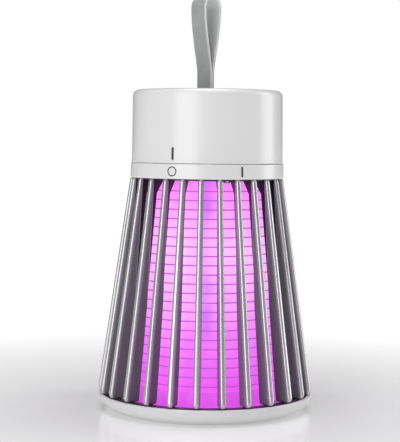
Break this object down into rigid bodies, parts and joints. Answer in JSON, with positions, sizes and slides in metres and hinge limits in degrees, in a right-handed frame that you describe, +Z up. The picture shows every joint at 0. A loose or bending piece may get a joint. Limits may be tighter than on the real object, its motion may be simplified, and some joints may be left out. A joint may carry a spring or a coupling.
{
  "type": "electric bug zapper",
  "caption": "Portable lantern-shaped electric insect killer: white twist-switch cap with hanging strap, tapered guard of radial fins, violet-lit wire grid, twist-off collecting tray.",
  "frame": {"origin": "centre of the base, on the surface it stands on", "axes": "+Z up through the strap; the front, with the switch marks, faces -Y"},
  "size_m": [0.115, 0.1148, 0.2217],
  "materials": {
    "white_shell": "smooth injection-moulded gloss",
    "grey_fin": "satin metallic-look grey moulding",
    "black_moulding": "plain moulded black",
    "dark_ring": "plain moulded dark grey",
    "mark_ink": "pad-printed mark",
    "grey_silicone": "soft matt silicone",
    "lit_shade": "milky shade lit violet from inside",
    "lit_rib": "clear tinted plastic, edge lit",
    "grid_steel": "drawn stainless wire",
    "screw_steel": "zinc-plated steel",
    "terminal_brass": "turned brass",
    "cell_sleeve": "shrink sleeve",
    "nickel_tab": "nickel strip",
    "board_green": "solder mask",
    "winding_tape": "taped winding",
    "capacitor_sleeve": "sleeved can",
    "chip_epoxy": "moulded epoxy",
    "port_steel": "stamped steel",
    "clear_pipe": "clear moulded peg",
    "white_bracket": "plain moulded natural white",
    "lead_sleeve": "insulated lead",
    "lamp_white": "lamp package"
  },
  "bodies": {
    "cage": {"guard_bottom_ring": "dark_ring", "guard_fins": "grey_fin", "guard_webs": "black_moulding", "guard_crown": "black_moulding", "switch_ring": "white_shell", "switch_ring_marks": "mark_ink", "ring_screws": "screw_steel", "switch_cam": "white_bracket"},
    "head": {"top_cap": "white_shell", "cap_pointer_mark": "mark_ink", "head_chassis": "black_moulding", "chassis_screws": "screw_steel", "strap_root": "grey_silicone", "strap_clamp": "white_bracket", "clamp_screws": "screw_steel", "battery_cell": "cell_sleeve", "battery_saddles": "white_bracket", "battery_tabs": "nickel_tab", "battery_leads": "lead_sleeve", "circuit_board": "board_green", "board_screws": "screw_steel", "step_up_transformer": "winding_tape", "multiplier_capacitors": "capacitor_sleeve", "board_chips": "chip_epoxy", "charging_port": "port_steel", "charge_light_pipe": "clear_pipe", "power_switch_body": "chip_epoxy", "core_collar": "lit_shade", "core_screws": "screw_steel", "core_base": "lit_shade", "base_screw": "screw_steel", "grid_ribs": "lit_rib", "grid_wires_live": "grid_steel", "grid_wires_return": "grid_steel", "grid_bus_bar_live": "nickel_tab", "grid_bus_bar_return": "nickel_tab", "grid_terminals": "terminal_brass", "grid_leads": "lead_sleeve", "light_diffuser": "lit_shade", "lamp_post": "white_bracket", "lamp_post_spider": "white_bracket", "lamp_boards": "board_green", "violet_lamps": "lamp_white"},
    "plunger": {"switch_plunger": "white_bracket"},
    "strap": {"strap_loop": "grey_silicone"},
    "tray": {"collecting_tray": "white_shell"}
  },
  "joints": [
    {"name": "head_turn", "type": "hinge", "parent": "cage", "child": "head", "pos_m": [0, 0, 0.1276], "axis": [0, 0, 1], "range_deg": [0, 52]},
    {"name": "plunger_lift", "type": "slide", "parent": "head", "child": "plunger", "axis": [0, 0, 1], "range_m": [0, 0.00121]},
    {"name": "strap_flex", "type": "hinge", "parent": "head", "child": "strap", "pos_m": [-0.0013, 0, 0.1734], "axis": [0.7431, -0.6691, 0], "range_deg": [-70, 70], "stiffness_Nm_per_rad": 0.01},
    {"name": "tray_twist", "type": "hinge", "parent": "cage", "child": "tray", "pos_m": [0, 0, 0.0078], "axis": [0, 0, 1], "range_deg": [-20, 0]}
  ],
  "couplings": [
    {"joint": "plunger_lift", "follows": "head_turn", "m_per_rad": 0.0013222}
  ]
}
